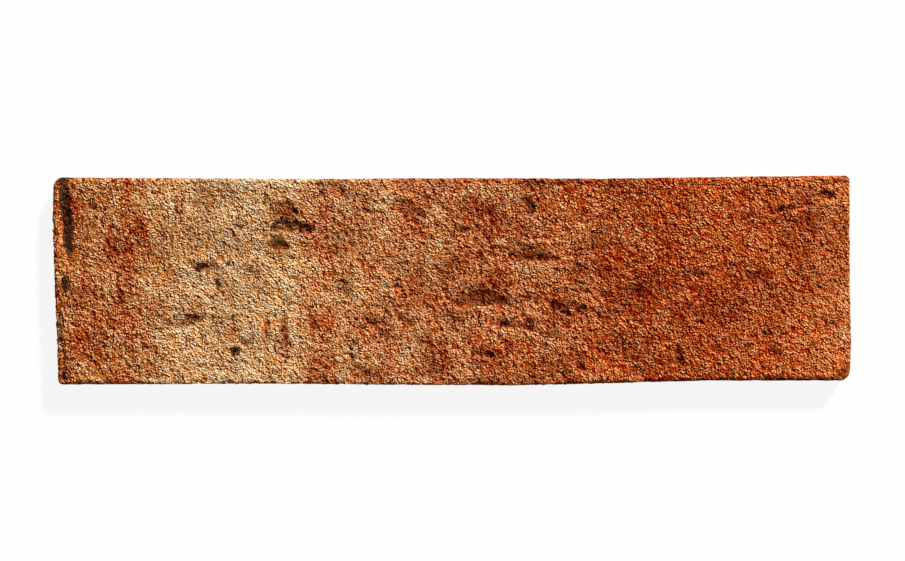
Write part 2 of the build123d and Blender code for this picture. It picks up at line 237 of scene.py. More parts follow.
# Strokes, and ribs where the depth is below zero: both ends, half width and depth
STROKES = [
    (-118.0, 30.5, -118.2, 21.0, 1.3, 0.45), (-118.0, 21.0, -117.5, 9.5, 1.1, 0.45),
    (-119.0, 0.2, -117.4, -2.4, 1.1, 0.40), (-120.2, -9.0, -119.7, -16.0, 0.6, 0.50),
    (-120.0, -18.0, -119.2, -24.0, 0.7, 0.45), (-119.0, -25.0, -118.4, -31.0, 0.6, 0.50),
    (-110.5, 23.8, -110.0, 22.2, 0.7, 0.40), (-114.5, 28.5, -112.5, 27.0, 0.6, 0.30),
    (-97.3, 20.0, -97.0, 18.0, 0.9, 0.35), (-96.5, 17.0, -95.2, 15.2, 0.9, 0.40),
    (-97.0, 12.5, -95.0, 11.5, 0.8, 0.40), (-106.0, 7.8, -104.2, 7.2, 0.7, 0.50),
    (-103.5, 9.5, -102.5, 8.0, 0.8, 0.45), (-101.0, 8.0, -99.8, 10.2, 0.8, 0.45),
    (-105.0, 12.0, -103.0, 11.3, 0.7, 0.35), (-117.5, 6.5, -116.3, 6.2, 0.7, 0.30),
    (-101.8, -4.0, -101.6, -7.5, 0.8, 0.45), (-112.0, -17.0, -110.0, -18.0, 0.9, 0.40),
    (-109.0, -22.5, -107.3, -24.6, 0.9, 0.40), (-96.0, -10.0, -95.0, -12.0, 0.8, 0.40),
    (-95.0, -18.5, -93.0, -21.0, 1.2, 0.50), (-98.5, -26.3, -96.5, -27.6, 1.0, 0.40),
    (-86.5, 24.8, -85.4, 23.8, 0.9, 0.45), (-85.4, 23.8, -83.6, 20.5, 1.0, 0.55),
    (-83.0, 27.0, -82.3, 24.0, 0.7, 0.35), (-66.3, 18.4, -66.5, 16.4, 0.8, 0.45),
    (-66.5, 16.2, -63.5, 16.8, 0.9, 0.50), (-63.5, 27.2, -60.5, 27.0, 0.7, 0.40),
    (-82.0, 6.0, -80.5, 5.8, 0.8, 0.40), (-79.0, 5.2, -77.3, 3.8, 0.8, 0.50),
    (-76.0, 4.2, -74.5, 4.8, 1.2, 0.55), (-71.0, 7.0, -68.3, 4.6, 1.1, 0.55),
    (-72.0, 0.0, -71.5, -2.0, 0.9, 0.50), (-71.8, -3.0, -70.8, -5.0, 0.8, 0.35),
    (-82.0, -12.0, -76.3, -11.7, 0.7, 0.60), (-86.0, -13.8, -83.2, -14.0, 1.0, 0.50),
    (-68.5, -11.8, -66.0, -11.0, 0.7, 0.40), (-67.8, -12.5, -66.5, -15.0, 0.9, 0.50),
    (-66.8, -17.0, -65.5, -18.7, 0.8, 0.35), (-64.5, -19.5, -62.0, -20.0, 0.9, 0.50),
    (-74.5, -25.0, -72.0, -26.5, 0.7, 0.30), (-53.0, 27.3, -51.0, 27.5, 0.6, 0.30),
    (-48.0, 27.6, -46.7, 27.2, 0.7, 0.40), (-57.3, 24.0, -55.8, 22.0, 1.1, 0.50),
    (-54.0, 23.8, -52.5, 23.3, 0.8, 0.40), (-50.5, 23.3, -48.7, 21.0, 1.2, 0.55),
    (-48.7, 21.0, -47.0, 20.0, 0.9, 0.45), (-41.0, 28.8, -40.0, 26.8, 1.1, 0.50),
    (-34.0, 27.5, -33.3, 26.0, 1.0, 0.45), (-33.3, 26.0, -31.8, 25.2, 1.0, 0.45),
    (-54.0, 16.4, -52.5, 18.2, 1.1, 0.50), (-52.5, 18.4, -48.5, 18.0, 1.0, 0.50),
    (-47.5, 16.8, -44.0, 15.6, 1.2, 0.60), (-54.0, 11.0, -50.3, 10.2, 1.0, 0.45),
    (-33.8, 15.0, -32.0, 14.3, 0.8, 0.45), (-31.0, 18.7, -30.0, 18.0, 0.7, 0.30),
    (-19.0, 16.0, -18.5, 15.0, 0.8, 0.35), (-19.8, 14.0, -20.0, 11.5, 0.6, 0.35),
    (-17.5, 23.5, -14.8, 23.3, 1.2, 0.55), (-11.5, 21.0, -9.3, 20.5, 1.1, 0.50),
    (-8.5, 28.0, -5.5, 27.5, 0.8, 0.45), (-25.6, 28.5, -25.0, 26.0, 0.7, 0.30),
    (-8.8, 16.3, -7.3, 15.5, 0.8, 0.40), (-5.0, 16.0, -4.0, 17.0, 0.8, 0.40),
    (-38.0, 8.5, -36.5, 9.0, 0.9, 0.35), (-50.5, 4.0, -48.8, 2.8, 0.6, 0.35),
    (-40.5, 2.0, -39.5, 2.0, 0.9, 0.35), (-36.5, 1.5, -32.0, -0.6, 1.0, 0.50),
    (-34.5, -3.0, -32.0, -4.0, 0.7, 0.40), (-39.5, -3.0, -37.5, -3.8, 1.0, 0.45),
    (-62.0, 3.0, -60.0, 2.0, 0.8, 0.35), (-24.0, 1.0, -22.5, 0.5, 0.8, 0.35),
    (-24.3, -3.0, -22.5, -4.0, 0.8, 0.35), (-20.0, 3.8, -17.0, -1.0, 0.9, 0.40),
    (-15.0, -4.5, -13.0, -4.0, 0.9, 0.45), (-13.0, -4.0, -11.5, -6.0, 0.8, 0.45),
    (-10.7, 2.5, -11.2, 0.5, 0.7, 0.50), (-17.0, 10.0, -14.5, 9.3, 0.8, 0.50),
    (-8.0, -6.3, -4.5, -5.8, 0.6, 0.35), (-51.8, -6.0, -50.5, -7.5, 0.9, 0.40),
    (-43.5, -8.5, -41.0, -7.5, 1.0, 0.35), (-58.5, -10.5, -57.0, -13.5, 1.0, 0.45),
    (-57.0, -13.5, -56.8, -17.0, 1.0, 0.45), (-52.0, -11.5, -51.5, -18.5, 1.1, 0.45),
    (-50.5, -19.8, -48.8, -19.5, 0.7, 0.35), (-54.5, -20.5, -53.5, -22.3, 0.8, 0.40),
    (-53.5, -22.3, -51.0, -24.0, 0.8, 0.45), (-44.0, -12.5, -42.3, -13.8, 1.1, 0.45),
    (-39.5, -14.0, -37.5, -15.0, 1.0, 0.40), (-29.5, -13.5, -28.3, -14.8, 0.7, 0.35),
    (-26.5, -12.0, -23.5, -13.3, 0.8, 0.45), (-17.5, -10.0, -16.0, -12.0, 0.9, 0.45),
    (-16.0, -12.0, -13.0, -13.0, 0.9, 0.45), (-31.5, -21.0, -30.7, -24.0, 0.9, 0.45),
    (-27.5, -22.0, -26.0, -24.0, 0.9, 0.40), (-22.2, -22.0, -21.0, -23.5, 0.7, 0.40),
    (-37.5, -25.0, -35.0, -26.0, 1.0, 0.35), (-23.0, -28.0, -22.0, -30.5, 0.8, 0.40),
    (-9.0, -12.0, -5.5, -12.0, 0.8, 0.35), (-2.0, -17.0, -1.5, -20.0, 0.8, 0.30),
    (7.5, 21.2, 8.8, 20.8, 0.8, 0.40), (11.0, 20.0, 11.6, 18.2, 1.2, 0.60),
    (15.3, 21.0, 17.2, 17.0, 0.7, 0.60), (22.5, 24.3, 25.2, 21.2, 1.1, 0.55),
    (46.7, 27.7, 47.5, 27.0, 0.7, 0.35), (60.3, 23.0, 63.0, 22.5, 0.9, 0.35),
    (0.5, 16.2, 2.5, 15.3, 0.7, 0.45), (2.5, 15.3, 5.5, 16.2, 0.7, 0.45),
    (10.5, 14.0, 10.8, 12.0, 0.7, 0.40), (10.8, 12.0, 12.0, 10.0, 0.7, 0.40),
    (9.5, 9.0, 11.5, 7.9, 0.6, 0.50), (11.5, 7.9, 15.0, 7.3, 0.6, 0.55), (15.0, 7.3, 18.5, 7.8, 0.6, 0.50),
    (12.0, 9.7, 17.0, 9.3, 0.5, 0.40), (31.5, 9.5, 32.5, 7.0, 0.8, 0.50), (7.5, 8.0, 8.5, 6.5, 0.8, 0.45),
    (43.0, 5.5, 45.0, 5.0, 0.7, 0.40), (13.5, 2.0, 15.5, 2.0, 0.6, 0.35), (31.5, 4.0, 32.5, 1.5, 0.7, 0.35),
    (2.3, -2.0, 2.8, -4.0, 0.8, 0.45), (8.4, -4.0, 9.0, -6.4, 1.2, 0.50),
    (13.0, -4.5, 16.0, -6.0, 1.2, 0.50), (20.8, -3.0, 20.5, -5.5, 0.7, 0.35),
    (22.5, -4.5, 23.8, -6.0, 0.9, 0.45), (29.5, -2.0, 31.0, -3.3, 0.8, 0.45),
    (30.0, -7.0, 35.0, -9.8, 0.8, 0.50), (15.5, -13.0, 17.3, -14.3, 0.9, 0.45),
    (26.0, -15.0, 30.0, -15.8, 0.7, 0.35), (41.0, -18.0, 42.5, -18.3, 0.7, 0.35),
    (44.5, -20.8, 47.3, -22.3, 0.8, 0.45), (3.4, -18.8, 5.3, -19.0, 0.8, 0.45),
    (16.5, -20.0, 17.0, -21.5, 0.8, 0.35), (27.0, -23.0, 29.3, -24.3, 0.7, 0.40),
    (32.0, -24.0, 36.0, -24.0, 0.6, 0.35), (38.5, -25.0, 39.9, -27.2, 1.0, 0.55),
    (5.5, -26.5, 8.0, -27.0, 0.6, 0.40), (52.0, -2.8, 55.5, -3.2, 0.6, 0.35),
    (60.5, -7.0, 61.0, -9.5, 0.8, 0.30), (68.0, 23.5, 70.5, 22.7, 0.8, 0.50),
    (75.3, 25.0, 76.0, 24.3, 0.7, 0.35), (83.5, 28.3, 85.0, 28.0, 0.7, 0.45),
    (65.0, 17.0, 66.6, 15.8, 1.0, 0.50), (72.5, 10.3, 74.0, 9.0, 0.8, 0.40),
    (85.3, 18.2, 86.0, 16.6, 0.7, 0.50), (98.5, 21.3, 101.0, 22.0, 0.8, 0.55),
    (101.0, 22.0, 105.0, 22.6, 0.9, 0.60), (108.0, 23.5, 109.0, 22.7, 0.8, 0.45),
    (112.5, 26.0, 114.0, 26.6, 0.8, 0.50), (114.0, 26.6, 116.2, 26.0, 1.0, 0.55),
    (114.0, 30.4, 119.0, 30.0, 0.7, 0.35), (121.2, 27.5, 121.3, 25.8, 0.7, 0.35),
    (100.5, 15.0, 102.0, 15.3, 0.7, 0.45), (108.0, 18.3, 109.3, 17.7, 0.8, 0.40),
    (100.3, 12.0, 100.7, 8.5, 0.6, 0.35), (108.7, 4.5, 109.0, 3.0, 0.8, 0.45),
    (83.5, 8.5, 85.0, 8.2, 0.7, 0.40), (70.5, 2.7, 75.0, 1.7, 0.7, 0.50), (75.0, 1.7, 78.5, 1.8, 0.7, 0.40),
    (90.3, 2.3, 91.2, 1.0, 0.8, 0.40), (96.0, 1.8, 97.2, 1.5, 0.6, 0.35),
    (84.3, -1.0, 84.3, -3.0, 0.6, 0.35), (95.7, -3.2, 98.0, -5.5, 0.7, 0.50),
    (111.5, -1.5, 113.0, -2.0, 0.7, 0.30), (117.0, -9.5, 118.5, -8.8, 0.6, 0.30),
    (81.3, -11.5, 81.5, -13.5, 0.7, 0.35), (95.8, -16.0, 97.1, -16.5, 0.8, 0.45),
    (92.5, -16.0, 94.0, -18.0, 0.7, 0.35), (97.5, -21.0, 99.0, -22.5, 0.8, 0.45),
    (107.5, -22.0, 108.5, -24.5, 0.6, 0.35), (94.0, -26.5, 94.5, -28.5, 0.7, 0.40),
    (101.5, -28.0, 103.0, -28.0, 0.6, 0.35), (68.7, -20.5, 69.6, -24.0, 0.7, 0.50),
    (69.6, -24.0, 70.3, -26.0, 0.8, 0.50), (81.5, -21.8, 83.5, -21.8, 0.7, 0.35),
    (1.5, -7.0, 6.0, -7.5, 0.6, 0.45), (6.0, -7.5, 12.5, -7.2, 0.6, 0.50),
    (13.5, -7.0, 19.5, -6.7, 0.5, 0.40), (20.0, -6.6, 26.0, -7.0, 0.5, 0.35),
    (17.5, 7.2, 24.0, 6.7, 0.7, 0.50), (24.0, 6.7, 32.0, 6.8, 0.7, 0.50),
    (8.0, -12.9, 16.0, -13.6, 0.5, 0.40), (16.0, -13.6, 24.0, -14.7, 0.6, 0.40),
    (6.0, -22.4, 12.0, -22.7, 0.5, 0.40), (12.0, -22.7, 19.5, -22.4, 0.5, 0.40),
    (-92.0, -10.9, -85.0, -10.8, 0.4, 0.45), (-85.0, -10.8, -77.0, -10.6, 0.4, 0.45),
    (-98.0, 12.0, -96.5, 10.0, 0.9, -0.35), (-87.0, 20.5, -86.4, 23.6, 1.4, -0.40),
    (-78.5, 2.8, -77.0, 1.5, 0.9, -0.35), (-90.0, -10.2, -78.0, -9.8, 0.6, -0.40),
    (-104.0, -10.5, -100.0, -12.5, 0.8, -0.30), (-116.0, -26.0, -115.4, -27.6, 0.8, -0.30),
    (-103.0, -20.0, -102.7, -22.5, 0.7, -0.25), (-52.0, 21.0, -50.6, 20.3, 0.9, -0.35),
    (-53.5, 25.3, -48.0, 25.0, 0.6, -0.25), (-60.0, 12.5, -57.0, 12.0, 0.9, -0.35),
    (-49.0, 13.0, -46.0, 12.3, 1.1, -0.35), (-43.0, 12.5, -41.0, 12.5, 1.0, -0.35),
    (-33.0, 12.8, -30.0, 12.6, 0.7, -0.30), (-29.0, 22.5, -20.5, 22.0, 0.8, -0.35),
    (-21.0, 0.5, -18.3, -4.0, 1.4, -0.45), (-12.0, -15.0, -8.0, -15.5, 0.9, -0.35),
    (-34.0, -28.0, -32.0, -28.0, 0.8, -0.30), (13.4, 19.6, 13.8, 18.0, 1.1, -0.35),
    (8.0, 17.5, 10.0, 17.0, 0.9, -0.35), (21.0, 19.8, 24.5, 19.3, 0.9, -0.40),
    (13.0, 11.3, 16.0, 11.3, 0.9, -0.40), (15.5, 15.0, 19.0, 13.0, 0.8, -0.30),
    (20.0, 12.5, 24.0, 11.5, 1.0, -0.35), (27.0, 12.0, 32.0, 12.0, 0.9, -0.35),
    (6.0, 7.0, 6.4, 3.4, 0.9, -0.35), (18.0, 4.0, 20.5, 3.5, 1.2, -0.40), (23.0, 4.0, 24.0, 2.5, 1.0, -0.35),
    (29.0, 4.5, 31.0, 2.5, 1.0, -0.35), (31.0, -1.0, 34.0, -1.0, 1.0, -0.35),
    (0.5, -8.5, 4.5, -8.3, 0.9, -0.40), (5.0, -8.4, 12.0, -8.3, 0.8, -0.35),
    (17.0, -7.6, 23.0, -7.6, 0.8, -0.30), (37.0, -11.0, 40.0, -11.5, 0.9, -0.35),
    (33.5, -13.0, 34.0, -15.0, 0.9, -0.35), (7.5, -14.0, 7.3, -16.5, 0.8, -0.30),
    (10.0, -14.5, 15.0, -15.2, 0.7, -0.30), (20.5, -15.8, 23.5, -16.5, 0.9, -0.35),
    (38.0, -19.5, 40.0, -21.0, 1.0, -0.35), (11.5, -24.5, 15.0, -25.3, 0.8, -0.35),
    (2.0, -26.5, 5.0, -28.5, 0.9, -0.35), (70.5, 18.0, 72.0, 18.0, 0.9, -0.35),
    (97.0, 17.3, 95.6, 18.4, 0.9, -0.30), (91.5, 15.5, 96.5, 12.4, 0.7, -0.25),
    (98.5, 19.8, 104.5, 20.5, 0.8, -0.50), (105.5, 22.0, 108.0, 21.5, 0.7, -0.30),
    (115.5, 24.3, 120.0, 23.3, 0.9, -0.45), (116.3, 14.3, 118.0, 13.5, 0.8, -0.35),
    (112.5, 4.0, 111.0, 3.2, 0.8, -0.35), (99.5, -1.5, 99.5, -4.0, 0.6, -0.35),
    (101.0, -2.0, 104.5, -5.0, 0.7, -0.25), (64.0, -7.5, 66.0, -7.3, 0.8, -0.30),
    (109.9, -15.5, 110.5, -17.3, 0.6, -0.40), (67.5, -22.0, 68.4, -23.2, 0.8, -0.40),
    (112.0, -10.4, 114.0, -9.4, 0.8, -0.25),
]

# Pale spots: middle, half length, half width, turn, and strength as sand and as a paler tone
PALE_SPOTS = [
    (-86.4, 22.5, 3.0, 1.2, 90.0, 0.9, 1.0), (-110.0, 20.5, 5.0, 1.0, 5.0, 0.3, 0.8),
    (-19.6, -1.8, 3.8, 1.5, -55.0, 0.25, 0.7), (-22.0, 23.5, 3.0, 2.0, 0.0, 0.4, 0.8),
    (14.2, 11.4, 3.0, 1.6, 0.0, 0.15, 0.4), (6.8, 6.0, 3.2, 1.2, 90.0, 0.0, 0.6),
    (16.0, 27.4, 12.0, 2.4, 0.0, 0.15, 0.4), (24.0, 4.2, 7.0, 0.9, -4.0, 0.0, 0.8),
    (9.0, -8.6, 9.0, 0.7, 0.0, 0.0, 0.9), (25.0, 18.6, 3.0, 1.2, -15.0, 0.0, 0.7),
    (108.5, 21.4, 9.0, 1.0, 14.0, 0.0, 0.8), (-90.0, -30.6, 6.0, 1.2, 0.0, 0.6, 1.0),
    (-56.0, 30.2, 20.0, 1.6, 0.0, 0.6, 1.0), (-8.0, -30.8, 2.4, 1.0, 0.0, 0.5, 1.0),
    (70.8, -4.5, 1.6, 1.0, 0.0, 0.0, 1.0), (119.4, -17.3, 3.8, 0.5, 90.0, 1.0, 2.0),
    (118.0, 0.0, 28.0, 6.0, 90.0, 0.0, 0.2),
]

# Washes of colour: middle, half length, half width, turn and strength
WASHES = {
    "sand": [(*spot, sand) for *spot, sand, _ in PALE_SPOTS],
    "pale": [(*spot, pale) for *spot, _, pale in PALE_SPOTS],
    "rust": [
        (-83.6, 23.0, 5.0, 1.7, 90.0, 0.7), (-95.4, 17.0, 4.6, 2.2, 90.0, 0.6),
        (-98.0, 7.5, 6.5, 5.5, 0.0, 0.25), (-113.0, -21.0, 6.0, 5.0, 0.0, 0.4),
        (-67.0, -15.5, 3.4, 1.4, 90.0, 0.8), (-51.5, 22.0, 6.0, 2.2, -14.0, 0.6),
        (-57.3, -13.5, 3.6, 1.8, 90.0, 0.6), (-51.5, -18.5, 8.0, 2.2, 90.0, 0.7),
        (-40.0, -12.5, 5.0, 2.2, 0.0, 0.3), (7.5, 22.8, 6.0, 3.0, -25.0, 0.25),
    ],
    "soot": [
        (-76.8, 4.2, 2.4, 1.2, 30.0, 0.8), (-68.4, 5.3, 1.3, 1.1, 0.0, 0.7),
        (-71.8, -1.4, 1.0, 1.9, 0.0, 0.7), (-66.2, -21.6, 1.2, 1.6, 0.0, 0.7),
        (-63.2, -19.2, 1.1, 1.1, 0.0, 0.6), (-66.3, -11.5, 1.3, 1.0, 0.0, 0.6),
        (-53.6, 12.0, 4.0, 2.3, -30.0, 0.68), (-48.8, 21.6, 1.5, 0.9, 0.0, 0.5),
        (-38.8, -3.4, 1.5, 0.9, 0.0, 0.5), (-32.8, -1.0, 3.0, 2.4, -40.0, 0.45),
        (-31.4, -22.6, 1.8, 1.2, 0.0, 0.5), (-40.5, 28.0, 2.0, 0.7, 90.0, 0.5),
        (-32.6, 26.0, 1.4, 0.9, -30.0, 0.5), (24.0, 7.8, 6.8, 1.9, -6.0, 0.25),
        (9.0, -5.9, 9.6, 1.6, 0.0, 0.25), (39.4, -8.6, 1.7, 1.5, 0.0, 0.30),
        (23.6, -13.4, 2.6, 2.0, -30.0, 0.20),
    ],
    # Painted shade along the lower edge
    "shade": [
        (110.0, -30.2, 14.0, 1.4, 0.0, 0.8), (88.0, -30.6, 14.0, 1.0, 0.0, 0.4),
        (-105.0, -31.0, 9.0, 1.0, 0.0, 0.6), (10.0, -30.9, 14.0, 1.0, 0.0, 0.6),
    ],
    "smooth": [
        (-118.6, 18.0, 14.0, 2.6, 90.0, 0.9), (-53.6, 12.0, 4.0, 2.4, -30.0, 0.9),
        (-57.3, -13.5, 3.6, 1.8, 90.0, 0.8), (-40.0, -12.5, 5.0, 2.0, 0.0, 0.5),
        (39.4, -8.7, 1.9, 1.7, 0.0, 0.8), (50.0, -27.0, 10.0, 2.2, 0.0, 0.5),
        (78.0, 28.0, 4.0, 2.4, 0.0, 0.5), (119.2, -25.6, 3.0, 2.2, 90.0, 0.6),
    ],
}

# Streaks of soot: the line, its half width and its strength
SOOT_STREAKS = [
    ([(-118.4, 31.6), (-118.5, 25.0), (-117.8, 18.0), (-117.5, 9.4)], 1.35, 1.3),
    ([(-118.5, 1.4), (-118.2, -2.4)], 1.0, 0.9),
    ([(-120.4, -9.6), (-119.8, -15.0), (-119.2, -21.0), (-118.6, -31.4)], 0.55, 0.7),
    ([(-53.8, 16.4), (-52.8, 18.3), (-50.4, 18.3), (-49.4, 17.0)], 0.8, 0.9),
    ([(-53.2, 16.0), (-51.4, 15.5)], 0.7, 0.8),
    ([(-48.4, 17.5), (-46.2, 16.6), (-43.6, 15.7)], 0.9, 0.9),
    ([(-88.6, -13.6), (-82.6, -13.2), (-77.2, -11.8)], 1.0, 0.5),
]

# How sandy the clay is along the tile, how streaky the sand is, and how much lighter or darker the clay is
SAND_ALONG = [
    (-122.0, 0.55), (-98.0, 0.46), (-92.0, 0.80), (-66.0, 1.05), (-50.0, 0.93), (-45.0, 0.66), (-42.0, 0.52),
    (-20.0, 0.47), (0.0, 0.35), (26.0, 0.28), (50.0, 0.18), (72.0, 0.05), (100.0, -0.06), (117.0, -0.10),
]
STREAKY_ALONG = [(-48.0, 0.60), (-36.0, 0.10)]
TONE_ALONG = [
    (-122.0, -0.09), (-105.0, -0.07), (-92.0, -0.015), (-66.0, 0.085), (-45.0, 0.0), (-15.0, 0.01),
    (0.0, -0.01), (40.0, -0.035), (60.0, -0.085), (72.0, -0.065), (87.0, -0.02), (102.0, 0.02), (117.0, 0.08),
]

# How far the patches move the sand: everywhere, and more where sand and rust are even
PATCH_LEAST = 0.12
PATCH_EVEN = 2.2

# How far each thing changes the sand, the tone and the painted shade of the clay
SAND_SHARES = {"sand": 1.0, "rust": -0.60}
# The tone takes painted light on the knobs and ribs, a little painted shade on the walls, and the unevenness,
# which is partly the undulation's height and so paints its high ground lighter
TONE_SHARES = {"pale": 0.10, "rust": -0.05, "uneven": 0.15, "flecks": 0.06, "wall": -0.04, "painted_knob_light": 0.28}
# Painted shade: in the folds, the pits and strokes, along the lower edge, in the dips of the undulation and
# on the walls
SHADE_SHARES = {"sunken": 0.95, "painted_pit_shade": 0.50, "shade": 1.0, "painted_dip_shade": 1.0, "wall": 0.56}
BROAD_SHARE = 0.30
SMOOTH_WALL = 0.7

# Limits of those: depth in a fold and the power that evens it out, the light painted on knobs, the shade
# painted in pits, where the painted shade of the dips starts and the most it counts, and the deepest painted
# shade
SUNKEN_MOST = 1.2
SUNKEN_POWER = 0.7
KNOB_MOST = 0.5
PIT_MOST = 0.8
DIP_START = 0.10
DIP_MOST = 0.45
SHADE_MOST = 0.80

# Colours of the clay from its darkest pits to its palest grains, by tone, as red, green and blue up to 255
RUST = [
    (0.00, (24, 0, 0)), (0.20, (74, 0, 0)), (0.36, (114, 0, 0)), (0.52, (154, 22, 0)),
    (0.68, (194, 62, 0)), (0.84, (234, 122, 46)), (0.93, (255, 166, 98)),
]
SAND = [
    (0.00, (60, 4, 0)), (0.10, (92, 16, 0)), (0.26, (132, 44, 0)), (0.42, (172, 81, 0)),
    (0.58, (212, 134, 48)), (0.76, (255, 195, 124)), (1.00, (255, 234, 196)),
]
SOOT = [(0.00, (20, 8, 2)), (0.55, (68, 40, 22)), (1.00, (145, 98, 60))]

# What full painted shade leaves of the clay's red, green and blue, in linear light
SHADE = (0.36, 0.15, 0.06, 1.0)

# Grain of the material: how much it is stretched, then by kind the grains to a millimetre and, where light
# and shade are painted on them, the step towards the light in millimetres
GRAIN_STRETCH = (0.98, 1.02, 1.0)
CRUMB_GRAIN = (2.0, 0.30)
HOLE_GRAIN = (1.55, 0.38)
LUMP_GRAIN = (0.7, 0.90)
CLUMP_GRAIN = 0.3
SPECK_GRAIN = 1.9

# Tone of plain clay, and the height of the grain's bump in metres
MIDDLE_TONE = 0.722
BUMP_HEIGHT = 0.0013


def along(points, stops):
    """A value that changes along the tile from stop to stop, at the points."""
    return np.interp(points[:, 0], *zip(*stops))


def at_least(least, share):
    """A share from 0 to 1 that starts at the least instead."""
    return least + (1.0 - least) * share


def smooth_step(low, high, value):
    """0 below low, 1 above high and a soft rise between."""
    share = np.clip((value - low) / (high - low), 0.0, 1.0)
    return share * share * (3.0 - 2.0 * share)


def summed(shares, values):
    """The values that the shares name, each times its share, added up."""
    return sum(share * values[name] for name, share in shares.items())


def cloud(points, period, stretch=1.0, turn=0.0, shift=0.0):
    """Smooth noise at the points, one bump to a period, drawn out along the turn by the stretch."""
    angle = math.radians(turn)
    lengthwise = points[:, 0] * math.cos(angle) + points[:, 1] * math.sin(angle)
    across = points[:, 1] * math.cos(angle) - points[:, 0] * math.sin(angle)
    spread = np.stack([lengthwise / stretch, across, points[:, 2]], 1) / period + shift
    return np.array([noise.noise(place) for place in spread.tolist()])


def clouds(points, layers):
    """Layers of smooth noise, each times its share, added up."""
    return sum(share * cloud(points, *layer) for share, *layer in layers)


def cells(points, period, shift):
    """How far each point is from the nearest of the seeds scattered one to a period."""
    spread = points / period + shift
    return np.array([noise.voronoi(place)[0][0] for place in spread.tolist()])


def drifted(points, layers):
    """Where the points lie in plan after a sideways drift that varies softly from place to place."""
    places = points[:, :2].copy()
    for reach, period, shift in layers:
        ways = [cloud(points, period, shift=shift), cloud(points, period, shift=shift + OTHER_WAY)]
        places += reach * np.stack(ways, 1)
    return places


def line_distance(places, line):
    """How far the places are from a line of straight steps."""
    line = np.array(line)
    nearest = np.full(len(places), np.inf)
    for start, step in zip(line, np.diff(line, axis=0)):
        offset = places - start
        run = np.clip(offset @ step / max(step @ step, SAME_PLACE**2), 0.0, 1.0)
        gap = offset - run[:, None] * step
        nearest = np.minimum(nearest, np.hypot(gap[:, 0], gap[:, 1]))
    return nearest


def oval(places, x, y, half_length, half_width, turn):
    """Distance from an oval's middle, 1 on its rim."""
    angle = math.radians(turn)
    dx, dy = places[:, 0] - x, places[:, 1] - y
    lengthwise = dx * math.cos(angle) + dy * math.sin(angle)
    across = dy * math.cos(angle) - dx * math.sin(angle)
    return np.hypot(lengthwise / half_length, across / half_width)


def band_columns(half_x, half_y):
    """Where the columns of the outline's band start, on an inner rectangle, and the way they run."""
    across_x = np.linspace(-half_x, half_x, round(2 * half_x / SPACING) + 1)
    across_y = np.linspace(-half_y, half_y, round(2 * half_y / SPACING) + 1)
    starts, ways = [], []
    sides = [
        (np.stack([across_x, np.full_like(across_x, -half_y)], 1), -90.0),
        (np.stack([np.full_like(across_y, half_x), across_y], 1), 0.0),
        (np.stack([across_x[::-1], np.full_like(across_x, half_y)], 1), 90.0),
        (np.stack([np.full_like(across_y, -half_x), across_y[::-1]], 1), 180.0),
    ]
    for side, facing in sides:
        turns = np.full(len(side), facing)
        fan = facing + np.linspace(0.0, 90.0, CORNER_COLUMNS + 2)[1:-1]
        starts += [side, np.repeat(side[-1:], CORNER_COLUMNS, 0)]
        ways.append(np.radians(np.concatenate([turns, fan])))
    ways = np.concatenate(ways)
    return across_x, across_y, np.concatenate(starts), np.stack([np.cos(ways), np.sin(ways)], 1)


def worn_arris(starts, ways):
    """Radius of the front arris at each column: sharper along the left end and parts of the lower edge."""
    worn = np.full(len(starts), ARRIS)
    below = ways[:, 1] < -FACING
    worn[below] = along(starts[below], ARRIS_BELOW)
    worn[ways[:, 0] < -FACING] = ARRIS_LEFT
    shifts = range(-ARRIS_BLEND, ARRIS_BLEND + 1)
    return sum(np.roll(worn, shift) for shift in shifts) / len(shifts)


def band_rows(starts, ways, reach, thickness):
    """Rows of the band over the face, the arris and the wall, and how far inside the outline each is."""
    worn = worn_arris(starts, ways)
    flat_rows = round((BAND - ARRIS) / SPACING)
    steps = [(share, 0.0, 0.0, 0.0) for share in np.linspace(0.0, 1.0, flat_rows + 1)]
    for angle in np.linspace(0.0, math.pi / 2, ARRIS_ROWS + 1)[1:]:
        steps.append((1.0, math.sin(angle), 1.0 - math.cos(angle), 0.0))
    steps += [(1.0, 1.0, 1.0, share) for share in np.linspace(0.0, 1.0, WALL_ROWS + 1)[1:]]
    rows, insets = [], []
    for flat, outward, rounded, fallen in steps:
        distance = (reach - worn) * flat + worn * outward
        drop = worn * rounded + (thickness - worn) * fallen
        rows.append(np.column_stack([starts + ways * distance[:, None], thickness - drop]))
        insets.append(reach - distance)
    return rows, insets


